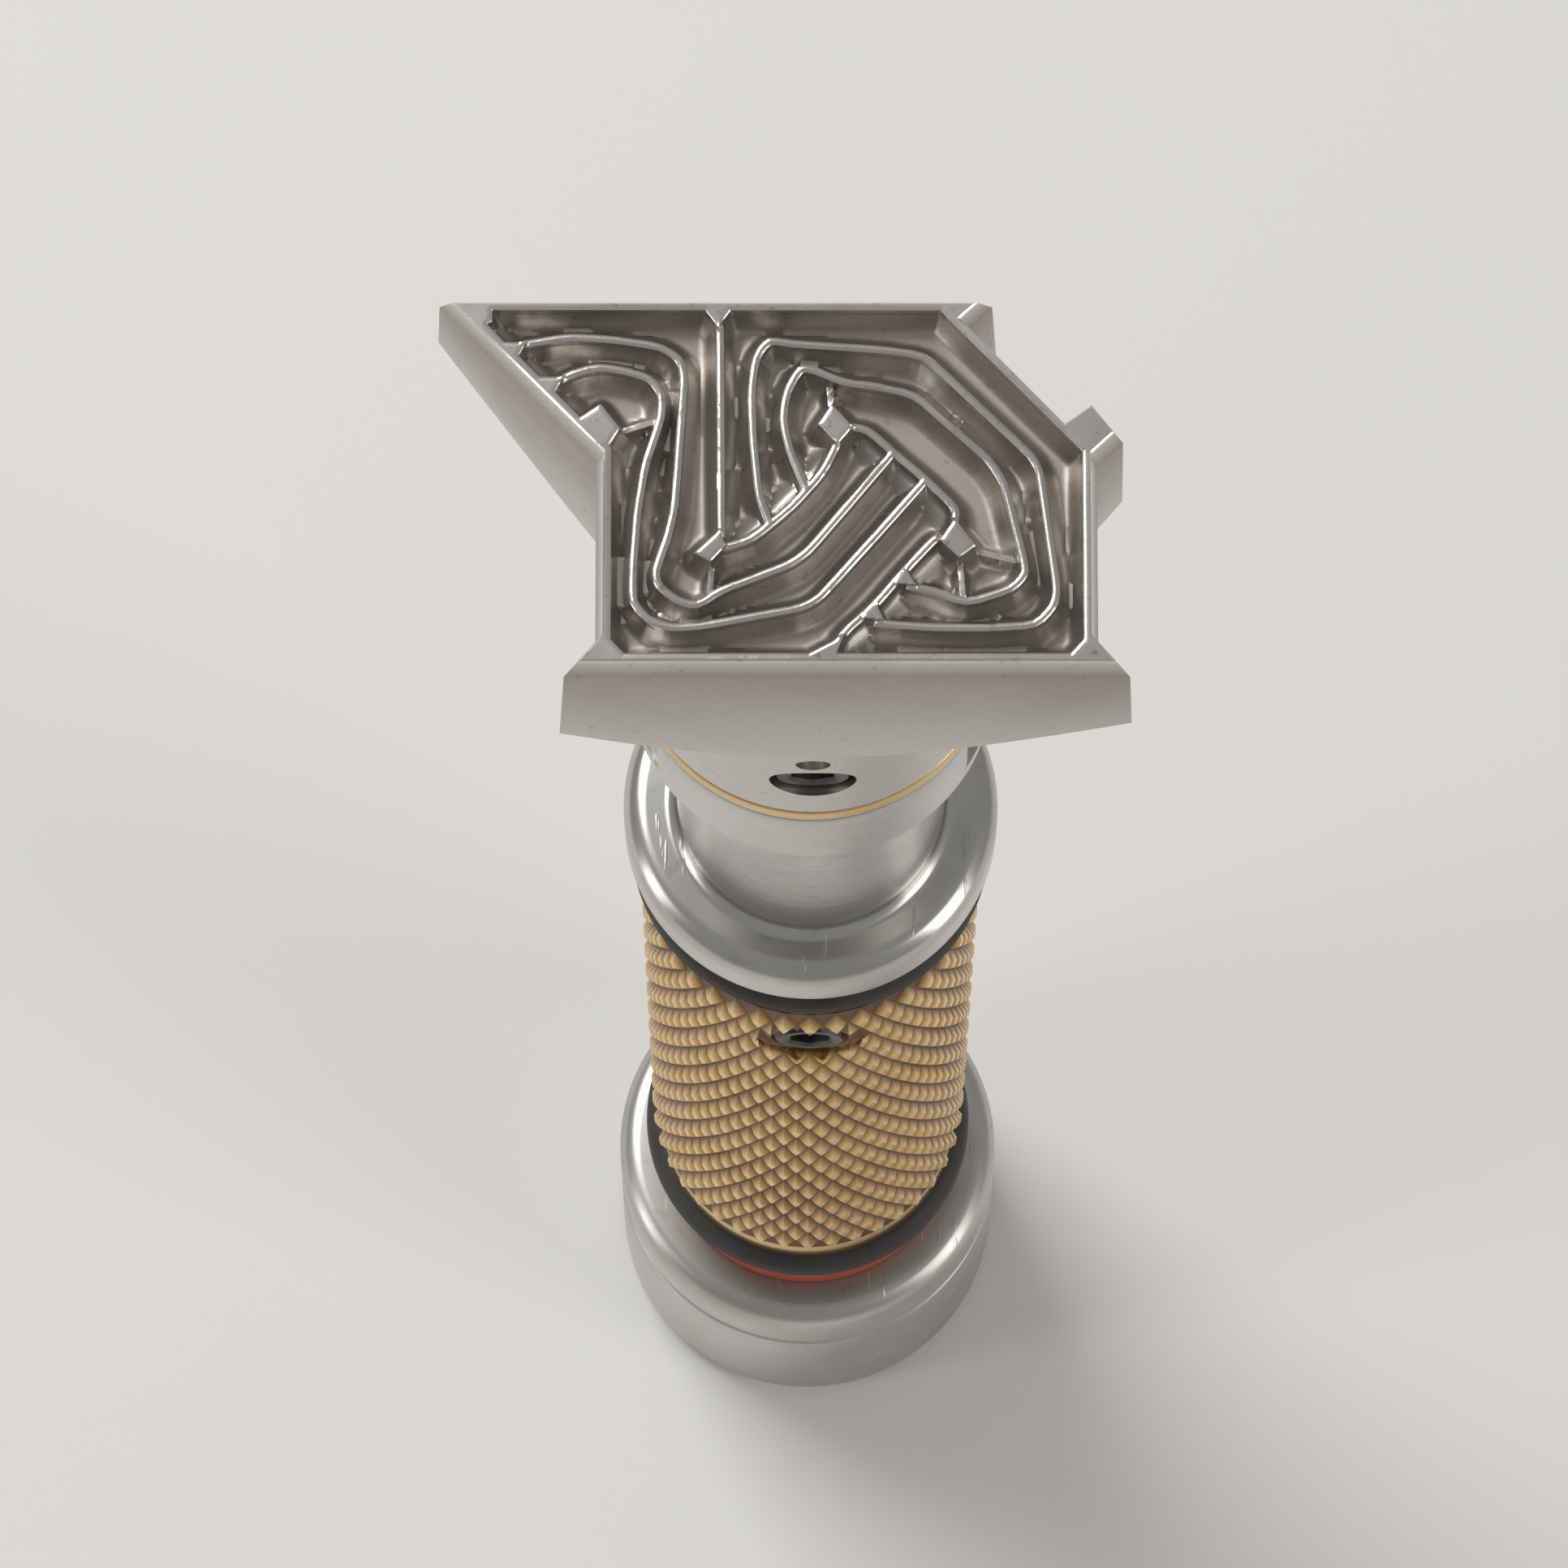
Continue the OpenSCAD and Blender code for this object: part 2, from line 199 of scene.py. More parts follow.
class Nodes:
    """A small builder for one material's node tree."""

    def __init__(self, name):
        self.material = bpy.data.materials.new(name)
        self.material.use_nodes = True
        self.tree = self.material.node_tree
        self.shader = self.tree.nodes["Principled BSDF"]

    def add(self, kind, inputs=None, **settings):
        node = self.tree.nodes.new(kind)
        for key, value in settings.items():
            setattr(node, key, value)
        for key, value in (inputs or {}).items():
            self.set(node, key, value)
        return node

    def set(self, node, key, value):
        if isinstance(value, bpy.types.NodeSocket):
            self.tree.links.new(value, node.inputs[key])
        else:
            node.inputs[key].default_value = value

    def place(self):
        return self.add("ShaderNodeTexCoord").outputs["Object"]

    def stretched(self, scale):
        return self.add("ShaderNodeMapping", {"Vector": self.place(), "Scale": scale}).outputs[0]

    def noise(self, vector, scale, detail=4.0, roughness=0.55):
        return self.add("ShaderNodeTexNoise", {"Vector": vector, "Scale": scale, "Detail": detail,
                                               "Roughness": roughness}).outputs["Fac"]

    def ramp(self, value, stops):
        """stops: (position, colour or grey)."""
        node = self.add("ShaderNodeValToRGB", {"Fac": value})
        elements = node.color_ramp.elements
        while len(elements) < len(stops):
            elements.new(0.5)
        for element, (position, colour) in zip(elements, stops):
            element.position = position
            grey = isinstance(colour, (int, float))
            element.color = (colour,) * 3 + (1,) if grey else (*colour, 1)
        return node.outputs["Color"]

    def mix(self, factor, a, b):
        node = self.add("ShaderNodeMix", data_type="RGBA")
        for index, value in ((0, factor), (6, a), (7, b)):
            if isinstance(value, bpy.types.NodeSocket):
                self.tree.links.new(value, node.inputs[index])
            else:
                node.inputs[index].default_value = value if index == 0 else (*value, 1)
        return node.outputs[2]

    def math(self, operation, a, b=0.0):
        node = self.add("ShaderNodeMath", operation=operation)
        self.set(node, 0, a)
        self.set(node, 1, b)
        return node.outputs[0]

    def attribute(self, name):
        return self.add("ShaderNodeAttribute", attribute_name=name).outputs["Fac"]

    def bump(self, height, strength, distance):
        return self.add("ShaderNodeBump", {"Height": height, "Strength": strength,
                                           "Distance": distance}).outputs[0]

    def finish(self, **inputs):
        for key, value in inputs.items():
            self.set(self.shader, key.replace("_", " "), value)
        return self.material


def turned_metal(name, colour, worn, rough=(0.2, 0.38), rings=7000, marks=0.4):
    """Metal from a lathe: fine rings around the axis, a varied sheen and handling marks."""
    n = Nodes(name)
    fine_rings = n.noise(n.stretched((30, 30, rings)), 1, 3, 0.7)
    broad_rings = n.noise(n.stretched((12, 12, rings / 7)), 1, 2)
    around = n.mix(0.4, fine_rings, broad_rings)
    cloud = n.noise(n.place(), 140, 5, 0.6)
    spots = n.noise(n.place(), 900, 3, 0.7)
    scratch = n.noise(n.stretched((2200, 260, 180)), 1, 3, 0.7)
    stain = n.ramp(cloud, [(0.35, 0.0), (0.7, 1.0)])
    base = n.mix(stain, colour, worn)
    base = n.mix(n.ramp(spots, [(0.62, 0.0), (0.75, 0.35)]), base, tuple(c * 0.45 for c in colour))
    low, high = rough
    sheen = n.ramp(n.mix(0.5, cloud, around), [(0.3, low), (0.7, high)])
    height = n.mix(0.35, around, n.ramp(scratch, [(0.3, 1.0), (0.36, 0.0)]))
    return n.finish(Base_Color=base, Metallic=1.0, Roughness=sheen,
                    Normal=n.bump(height, marks, 0.00006))


def engraved_steel():
    """The head: bright burnished ridges, and a darker brown film low in the channels."""
    n = Nodes("engraved_steel")
    depth = n.attribute("depth")
    cloud = n.noise(n.place(), 260, 5, 0.6)
    fine = n.noise(n.place(), 2600, 4, 0.65)
    brushed = n.noise(n.stretched((420, 5200, 5200)), 1, 3, 0.6)
    level = n.math("ADD", depth, n.math("MULTIPLY", n.math("SUBTRACT", cloud, 0.5), 0.35))
    base = n.ramp(level, [(0.0, (0.40, 0.36, 0.32)), (0.35, (0.47, 0.44, 0.41)),
                          (0.75, (0.56, 0.54, 0.51)), (1.0, (0.76, 0.74, 0.71))])
    base = n.mix(n.ramp(fine, [(0.6, 0.0), (0.72, 0.4)]), base, (0.12, 0.09, 0.07))
    sheen = n.mix(n.ramp(cloud, [(0.3, 0.0), (0.7, 0.35)]),
                  n.ramp(level, [(0.0, 0.5), (0.6, 0.3), (1.0, 0.18)]), (0.42, 0.42, 0.42))
    height = n.mix(0.5, brushed, fine)
    return n.finish(Base_Color=base, Metallic=1.0, Roughness=sheen,
                    Normal=n.bump(height, 0.3, 0.00002))


def knurled_brass():
    """Brass that hands have polished on the knurl's tips, with painted shade darkening it between
    them.
    """
    n = Nodes("knurled_brass")
    depth = n.attribute("depth")
    cloud = n.noise(n.place(), 90, 5, 0.6)
    fine = n.noise(n.place(), 1800, 4, 0.6)
    level = n.math("ADD", depth, n.math("MULTIPLY", n.math("SUBTRACT", cloud, 0.5), 0.6))
    # Colour by depth: bright polished tips, and painted shade low between the diamonds
    base = n.ramp(level, [(0.0, (0.13, 0.065, 0.022)), (0.5, (0.42, 0.24, 0.07)),
                          (1.0, (0.76, 0.5, 0.18))])
    base = n.mix(n.ramp(fine, [(0.6, 0.0), (0.75, 0.35)]), base, (0.25, 0.13, 0.05))
    sheen = n.ramp(level, [(0.0, 0.5), (0.6, 0.3), (1.0, 0.17)])
    return n.finish(Base_Color=base, Metallic=1.0, Roughness=sheen,
                    Normal=n.bump(fine, 0.25, 0.00002))


def black_oxide():
    n = Nodes("black_oxide")
    cloud = n.noise(n.place(), 800, 4)
    base = n.ramp(cloud, [(0.35, (0.035, 0.035, 0.04)), (0.7, (0.11, 0.105, 0.1))])
    return n.finish(Base_Color=base, Metallic=0.85, Roughness=n.ramp(cloud, [(0.3, 0.3), (0.7, 0.5)]),
                    Normal=n.bump(n.noise(n.place(), 4000), 0.2, 0.00002))


def rubber():
    n = Nodes("rubber")
    cloud = n.noise(n.place(), 500, 4)
    base = n.ramp(cloud, [(0.3, (0.018, 0.018, 0.018)), (0.75, (0.05, 0.048, 0.045))])
    return n.finish(Base_Color=base, Roughness=n.ramp(cloud, [(0.3, 0.5), (0.7, 0.72)]),
                    Normal=n.bump(n.noise(n.place(), 5000), 0.3, 0.00003))


def fibre():
    """Red vulcanised fibre: faint layers, with a darker oiled edge."""
    n = Nodes("fibre")
    layers = n.noise(n.stretched((60, 60, 4200)), 1, 3)
    cloud = n.noise(n.place(), 400, 5)
    base = n.mix(layers, (0.30, 0.035, 0.02), (0.5, 0.09, 0.045))
    base = n.mix(n.ramp(cloud, [(0.5, 0.0), (0.75, 0.6)]), base, (0.14, 0.02, 0.015))
    return n.finish(Base_Color=base, Roughness=n.ramp(cloud, [(0.3, 0.5), (0.7, 0.75)]),
                    Normal=n.bump(layers, 0.5, 0.00005))


STEEL = (0.58, 0.57, 0.55)
WORN_STEEL = (0.46, 0.44, 0.41)


# ---------------------------------------------------------------- handle

def strike_cap():
    """The cap, with the shallow dents that mallets leave on its striking end."""
    rounding = 0.8
    draw = np.random.default_rng(4)
    dents = [(draw.uniform(0, 6.2), draw.uniform(0, TURN), draw.uniform(0.5, 1.4),
              draw.uniform(0.02, 0.07)) for _ in range(38)]

    def battered(r, angle, z):
        if z > rounding:
            return r, z
        x, y = r * math.cos(angle), r * math.sin(angle)
        for dr, da, size, deep in dents:
            away = math.hypot(x - dr * math.cos(da), y - dr * math.sin(da))
            z += deep * max(0, 1 - (away / size) ** 2) ** 2
        return r, z

    bore_r, floor_z, flat_r = TAIL_R + 0.05, 4, CAP_R - 1.1
    groove_r, groove_z, slope = CAP_R - 0.18, CAP_Z - 4.2, 0.2
    end = [(r, 0) for r in np.linspace(0, flat_r, 26)]
    body = filleted([
        (flat_r, 0, 0), (CAP_R, 0, 1), (CAP_R, groove_z, 0.1),
        (groove_r, groove_z + slope, 0.05), (groove_r, groove_z + 0.7 - slope, 0.05),
        (CAP_R, groove_z + 0.7, 0.1), (CAP_R, CAP_Z, 0.9), (bore_r, CAP_Z, 0.3),
        (bore_r, floor_z, 0), (0, floor_z, 0)])
    piece = lathe("strike_cap", end + body[1:], 160, shape=battered)
    return set_up(piece, "strike_cap", "handle",
                  turned_metal("cap_steel", STEEL, WORN_STEEL, (0.24, 0.42)))


def cap_pin():
    """A rolled spring pin: a tube with a slot along it and rounded ends."""
    low, high = span("cap_pin")
    outer, inner, slot = (high.z - low.z) / 2, 0.58, math.radians(26)
    z = (low.z + high.z) / 2
    steps = 40
    angles = [math.pi / 2 + slot / 2 + (TURN - slot) * k / steps for k in range(steps + 1)]
    stations = [(low.x, 0.15), (low.x + 0.15, 0), (high.x - 0.15, 0), (high.x, 0.15)]
    vertices, faces = [], []
    for x, inset in stations:
        for r in (outer - inset, inner):
            vertices += [(x, r * math.cos(a), z + r * math.sin(a)) for a in angles]
    ring = steps + 1

    def at(station, wall, k):
        return (2 * station + wall) * ring + k

    last = len(stations) - 1
    for s in range(last):
        for k in range(steps):
            for wall in (0, 1):
                faces.append([at(s, wall, k), at(s, wall, k + 1), at(s + 1, wall, k + 1),
                              at(s + 1, wall, k)])
        for k in (0, steps):
            faces.append([at(s, 0, k), at(s, 1, k), at(s + 1, 1, k), at(s + 1, 0, k)])
    for s in (0, last):
        for k in range(steps):
            faces.append([at(s, 0, k), at(s, 0, k + 1), at(s, 1, k + 1), at(s, 1, k)])
    piece = make_object("cap_pin", vertices, faces)
    return set_up(piece, "cap_pin", "handle",
                  turned_metal("pin_steel", (0.3, 0.29, 0.28), (0.2, 0.19, 0.18)))


def cap_bumper():
    inner = 4.6
    profile = filleted([
        (inner + 0.4, CAP_Z, 0), (BAND_R, CAP_Z, 0.3), (BAND_R, BUMPER_Z, 0.3),
        (inner, BUMPER_Z, 0.2), (inner, CAP_Z, 0.2), (inner + 0.4, CAP_Z, 0)])[:-1]
    piece = lathe("cap_bumper", profile, 128, closed=True)
    return set_up(piece, "cap_bumper", "handle", fibre())


def shank():
    """The core with its collar, neck and seat. The seat has two spanner flats."""
    low = span("shank")[0].z
    core_z, neck_z, bore_z = CAP_Z + 0.2, SLEEVE_Z + 3, SEAT_Z - 10
    seat_low, seat_cone, bore_chamfer = SEAT_Z - 5, 1.5, 0.4
    flat_from, flat_to, flat_half, step = SEAT_Z - 4, SEAT_Z - 1, 5.5, 0.02

    def flats(r, angle, z):
        if flat_from < z < flat_to:
            r = min(r, flat_half / max(abs(math.cos(angle)), 1e-6))
        return r, z

    profile = filleted([
        (0, low, 0), (TAIL_R, low, 0.5), (TAIL_R, core_z, 0), (CORE_R, core_z, 0.1),
        (CORE_R, SLEEVE_Z, 0), (COLLAR_R, SLEEVE_Z, 0.4), (COLLAR_R, neck_z, 0.9),
        (NECK_R, neck_z, 0.5), (NECK_R, seat_low - seat_cone, 0.6), (SEAT_R, seat_low, 0.3),
        (SEAT_R, flat_from - step, 0), (SEAT_R, flat_from + step, 0),
        (SEAT_R, flat_to - step, 0), (SEAT_R, flat_to + step, 0),
        (SEAT_R, SEAT_Z, 0.3), (STUD_R + bore_chamfer, SEAT_Z, 0),
        (STUD_R, SEAT_Z - bore_chamfer, 0), (STUD_R, bore_z, 0), (0, bore_z, 0)])
    piece = lathe("shank", profile, 192, shape=flats)
    return set_up(piece, "shank", "handle",
                  turned_metal("shank_steel", STEEL, WORN_STEEL, (0.16, 0.32)))


def knurl(inner_r, low, high, base_r, tip_r, around=40, tall=3.1, flat=0.34):
    """A tube whose outside is a diamond knurl: one raised, flat-topped lozenge per diamond."""
    rows = 2 * round((high - low) / tall)
    pitch = (high - low) / rows
    vertices, faces, depth = [], [], []

    def point(r, column, row, level):
        a = TURN * column / (2 * around)
        vertices.append((r * math.cos(a), r * math.sin(a), low + pitch * row))
        depth.append(level)
        return len(vertices) - 1

    base = {(c, j): point(base_r, c, j, 0.0)
            for j in range(rows + 1) for c in range(2 * around) if (c + j) % 2 == 0}
    for j in range(rows + 1):
        for c in range(2 * around):
            if (c + j) % 2 == 0:
                continue
            left, right = base[(c - 1) % (2 * around), j], base[(c + 1) % (2 * around), j]
            if j in (0, rows):
                row = 1 if j == 0 else rows - 1
                faces.append([left, right, base[c, row]])
                continue
            corners = [left, base[c, j - 1], right, base[c, j + 1]]
            top = [point(tip_r, c + dc * flat, j + dj * flat, 1.0)
                   for dc, dj in ((-1, 0), (0, -1), (1, 0), (0, 1))]
            faces.append(top)
            for k in range(4):
                m = (k + 1) % 4
                faces.append([corners[k], corners[m], top[m], top[k]])
    inner_rings = []
    for j in (0, rows):
        columns = range(j % 2, 2 * around, 2)
        outer = [base[c, j] for c in columns]
        inner = [point(inner_r, c, j, 0.0) for c in columns]
        inner_rings.append(inner)
        for k in range(around):
            m = (k + 1) % around
            faces.append([outer[k], outer[m], inner[m], inner[k]])
    lower, upper = inner_rings
    for k in range(around):
        m = (k + 1) % around
        faces.append([lower[k], lower[m], upper[m], upper[k]])
    return vertices, faces, depth


def grip_sleeve():
    """Two smooth bands with their ring grooves, and the knurl between them."""
    band, inner, groove_half, spot = 5.5, CORE_R + 0.02, 0.85, 0.5
    ring_low, ring_high = span("grip_rings")
    groove_r = (ring_high.x - ring_low.x) / 2 - RING_THICK
    screw_low, screw_high = span("grip_lock_screw")
    material = knurled_brass()

    def band_piece(name, low, high):
        middle = (low + high) / 2
        profile = filleted([
            (inner + 0.3, low, 0), (BAND_R, low, 0.25), (BAND_R, middle - groove_half, 0.12),
            (groove_r, middle - groove_half, 0.1), (groove_r, middle + groove_half, 0.1),
            (BAND_R, middle + groove_half, 0.12), (BAND_R, high, 0.25), (inner, high, 0.1),
            (inner, low, 0.1), (inner + 0.3, low, 0)], 4)[:-1]
        return lathe(name, profile, 160, closed=True)

    low, high = BUMPER_Z, SLEEVE_Z
    bands = [band_piece("grip_band_lower", low, low + band),
             band_piece("grip_band_upper", high - band, high)]
    for piece in bands:
        set_depth(piece, [0.85] * len(piece.data.vertices))
        set_up(piece, "grip_sleeve", "handle", material)
    vertices, faces, depth = knurl(inner, low + band, high - band, BAND_R, SLEEVE_R)
    piece = make_object("grip_knurl", vertices, faces, 12)
    set_depth(piece, depth)
    hole = (screw_high.x - screw_low.x) / 2
    hole_z = (screw_high.z + screw_low.z) / 2
    cut_hole(piece, hole + spot, hole_z, BAND_R - 0.1, SLEEVE_R + 1)
    cut_hole(piece, hole, hole_z, inner - 1, SLEEVE_R + 1)
    return set_up(piece, "grip_sleeve", "handle", material)


def set_depth(piece, values):
    attribute = piece.data.attributes.new("depth", "FLOAT", "POINT")
    attribute.data.foreach_set("value", np.array(values, np.float32))


def grip_rings():
    """Rubber rings with the faint mould line that such rings have around their outside."""
    low, high = span("grip_rings")
    half, mould_line, steps = RING_THICK / 2, 0.03, 48
    centre_r = (high.x - low.x) / 2 - half
    material = rubber()
    for name, z in (("grip_ring_lower", low.z + half), ("grip_ring_upper", high.z - half)):
        profile = []
        for k in range(steps):
            a = TURN * k / steps
            r = half if k == 0 else half - mould_line
            profile.append((centre_r + r * math.cos(a), z + r * math.sin(a)))
        piece = lathe(name, profile, 160, closed=True)
        set_up(piece, "grip_rings", "handle", material)


def set_screw(name, node, body, material):
    """A socket set screw: threaded, with a cup point and a hexagon socket."""
    low, high = span(node)
    start, end = -high.y, -low.y
    r, z = (high.x - low.x) / 2, (high.z + low.z) / 2
    key_r = HEX_HALF / math.cos(math.pi / 6)
    pitch, deep, cup, point, chamfer, n = 0.5, 0.27, 0.35, 0.55, 0.25, 48
    threaded_len = end - start - 2 * chamfer
    vertices, faces, rows = [], [], []

    def ring(radius, height):
        rows.append(len(vertices))
        for k in range(n):
            a = TURN * k / n
            rr = radius(a) if callable(radius) else radius
            vertices.append((rr * math.cos(a), rr * math.sin(a), height))

    def hexagon(a):
        part = (a + math.pi / 6) % (math.pi / 3) - math.pi / 6
        return HEX_HALF / math.cos(part)

    ring(cup, start + cup)
    ring(r - point, start)
    steps = int(threaded_len / pitch * 10)
    for k in range(steps + 1):
        height = start + chamfer + threaded_len * k / steps

        def threaded(a, height=height):
            phase = (height / pitch - a / TURN) % 1
            return r - deep * abs(2 * phase - 1)
        ring(threaded, height)
    ring(r - chamfer, end)
    ring(key_r + 0.12, end)
    ring(hexagon, end - 0.1)
    ring(hexagon, end - HEX_DEPTH)
    for low_row, high_row in zip(rows, rows[1:]):
        for k in range(n):
            j = (k + 1) % n
            faces.append([low_row + k, low_row + j, high_row + j, high_row + k])
    faces.append([rows[0] + k for k in range(n)])
    faces.append([rows[-1] + k for k in range(n)])
    piece = along_minus_y(make_object(name, vertices, faces), z)
    finish_mesh(piece.data, 35)
    return set_up(piece, node, body, material)


def head_stud():
    """An M6 stud with its helical thread and chamfered ends."""
    low, high = span("head_stud")
    pitch, deep, tip_len, n = 1.0, 0.58, 0.7, 72
    end_r = STUD_R - deep - 0.05
    rows = int((high.z - low.z) / pitch * 14)
    vertices, faces = [], []
    for j in range(rows + 1):
        z = low.z + (high.z - low.z) * j / rows
        chamfer = min(1, (z - low.z) / tip_len, (high.z - z) / tip_len)
        for k in range(n):
            a = TURN * k / n
            phase = abs(2 * ((z / pitch - a / TURN) % 1) - 1)
            cut = deep * min(1, max(0, 1.25 * phase - 0.12))
            r = min(STUD_R - cut, end_r + (STUD_R - end_r) * chamfer)
            vertices.append((r * math.cos(a), r * math.sin(a), z))
    for j in range(rows):
        for k in range(n):
            m = (k + 1) % n
            faces.append([j * n + k, j * n + m, (j + 1) * n + m, (j + 1) * n + k])
    faces.append(list(range(n)))
    faces.append([rows * n + k for k in range(n)])
    piece = make_object("head_stud", vertices, faces)
    return set_up(piece, "head_stud", "handle",
                  turned_metal("stud_steel", (0.42, 0.41, 0.39), (0.28, 0.26, 0.24)))


def timing_washer():
    inner = STUD_R + 0.2
    profile = filleted([
        (inner + 0.5, SEAT_Z, 0), (SEAT_R, SEAT_Z, 0.2), (SEAT_R, HEAD_Z, 0.2),
        (inner, HEAD_Z, 0.15), (inner, SEAT_Z, 0.15), (inner + 0.5, SEAT_Z, 0)])[:-1]
    piece = lathe("timing_washer", profile, 128, closed=True)
    return set_up(piece, "timing_washer", "washer",
                  turned_metal("washer_brass", (0.76, 0.55, 0.26), (0.58, 0.38, 0.16)))


# ---------------------------------------------------------------- engraved head

# How far a channel's rounded wall reaches, how far a fold's does, and how steeply a
# plate falls to the ridge beside it
CHANNEL_HALF = 0.55
FOLD_REACH = 0.35
PLATE_SLOPE = 2.2
# How deep the top edges are rounded, and over what width
EDGE_ROUND = 0.05
EDGE_ROUND_REACH = 0.1
RIM_BEVEL = 0.06
# The mesh: distances of its rows from a ridge's edge, and the spacings of its points
LAYERS = (0.05, 0.12, 0.21, 0.33)
LAYER_TOLERANCE = 0.008
EDGE_STEP = 0.1
GRID_STEP = 0.12
CELL = 0.03
CLEAR_IN_CHANNEL = 0.39
CLEAR_ON_RIDGE = 0.17
TOUCHING = 1e-4
# The wear and film that the material shows on the head's outside walls
WALL_DEPTH = 0.7

# Where strands pass under others: the edge that they go under, directed so that the
# strands that dip are on its right. In the millimetres of the printed tile, whose
# point at PRINT_AXIS lies on the tool's axis.
PRINT_AXIS = (9.1, 6.1)
CROSSINGS = [((4.35, 5.2), (7.3, 7.95)), ((11.6, 3.9), (8.25, 7.3)), ((5.1, 4.1), (8.4, 0.2)),
             ((20.8, 12.2), (16.2, 7.4))]
DIP_LENGTH = 0.95
DIP_SHARE = 0.5


class Relief:
    """The head's face, read from the CAD head: its levels, outlines and distances."""

    def __init__(self, mesh):
        corners = np.array([v.co for v in mesh.vertices]) / MM
        mesh.calc_loop_triangles()
        tris = np.array([t.vertices for t in mesh.loop_triangles])
        p = corners[tris]
        normal = np.cross(p[:, 1] - p[:, 0], p[:, 2] - p[:, 0])
        flat = normal[:, 2] > 0.999 * np.linalg.norm(normal, axis=1)
        height = p[:, :, 2].mean(1)
        up = flat & (height > FACE_Z - 2)
        levels = np.unique(np.round(height[up], 2))
        self.floor, self.fold, self.line, self.plate = levels[0], levels[1], levels[-2], levels[-1]
        self.tris = {z: p[up & (abs(height - z) < 0.02)][:, :, :2] for z in levels}
        self.near = {name: self.tree([self.tris[z] for z in zs]) for name, zs in {
            "plate": [self.plate], "line": [self.line], "fold": [self.fold],
            "channel": [self.floor, self.fold]}.items()}
        self.edges = [e for z in (self.plate, self.line, self.fold)
                      for e in self.border(self.tris[z])]
        self.outline = self.outer_loop(self.border(self.tris[self.plate]))

    @staticmethod
    def tree(groups):
        tris = np.concatenate(groups)
        points = [(x, y, 0) for x, y in tris.reshape(-1, 2)]
        return BVHTree.FromPolygons(points, [(i, i + 1, i + 2) for i in range(0, len(points), 3)])

    @staticmethod
    def border(tris):
        """Edges that only one triangle of the level has."""
        uses = {}
        for tri in np.round(tris, 3):
            q = [tuple(c) for c in tri]
            for a, b in ((q[0], q[1]), (q[1], q[2]), (q[2], q[0])):
                uses.setdefault(frozenset((a, b)), []).append((a, b))
        return [e[0] for key, e in uses.items() if len(e) == 1 and len(key) == 2]

    @staticmethod
    def outer_loop(edges):
        """The border loop with the largest extent, in counter-clockwise order."""
        after = {}
        for a, b in edges:
            after.setdefault(a, []).append(b)
        start = min(after)
        loop, here = [start], after[start][0]
        while here != start:
            loop.append(here)
            here = after[here][0]
        return loop

    def distance(self, name, x, y):
        return self.near[name].find_nearest(Vector((x, y, 0)))[3]

    def height(self, x, y):
        """The finished surface above one point of the face."""
        into = self.distance("channel", x, y)
        plate = self.distance("plate", x, y)
        line = self.distance("line", x, y)
        if into > TOUCHING or min(plate, line) < TOUCHING:
            top = (self.plate if plate < TOUCHING
                   else max(self.line, self.plate - PLATE_SLOPE * plate))
            return top - EDGE_ROUND * max(0, 1 - into / EDGE_ROUND_REACH) ** 2
        deep = min(self.channel(plate, self.plate), self.channel(line, self.line))
        z = self.plate - deep
        fold = self.distance("fold", x, y)
        if fold < FOLD_REACH:
            z = max(z, self.fold - (self.fold - self.floor) * self.rounded(fold / FOLD_REACH))
        return max(z, self.floor + (self.plate - self.floor) * DIP_SHARE * self.dip(x, y))

    @staticmethod
    def rounded(t):
        """From 0 at a ridge's edge to 1 on the channel floor, for t from 0 to 1."""
        rest = max(0, 1 - t) ** 2
        return 0.5 * (1 - rest) + 0.5 * math.sqrt(1 - rest)

    def channel(self, away, top):
        start = self.plate - top + EDGE_ROUND
        return start + (self.plate - self.floor - start) * self.rounded(away / CHANNEL_HALF)

    @staticmethod
    def dip(x, y):
        """How far a strand has gone under another here, from 0 to 1."""
        u, v = PRINT_AXIS[0] - x, y + PRINT_AXIS[1]
        most = 0
        for (ax, ay), (bx, by) in CROSSINGS:
            ex, ey = bx - ax, by - ay
            length = math.hypot(ex, ey)
            along = ((u - ax) * ex + (v - ay) * ey) / length ** 2
            away = ((u - ax) * ey - (v - ay) * ex) / length
            if 0 <= along <= 1 and 0 < away < DIP_LENGTH:
                t = 1 - away / DIP_LENGTH
                most = max(most, t * t * (3 - 2 * t))
        return most

    def off_edge(self, x, y):
        """Distance to the nearest ridge edge, and whether the point is in a channel."""
        top = min(self.distance("plate", x, y), self.distance("line", x, y))
        if top > TOUCHING:
            return top, True
        return self.distance("channel", x, y), False

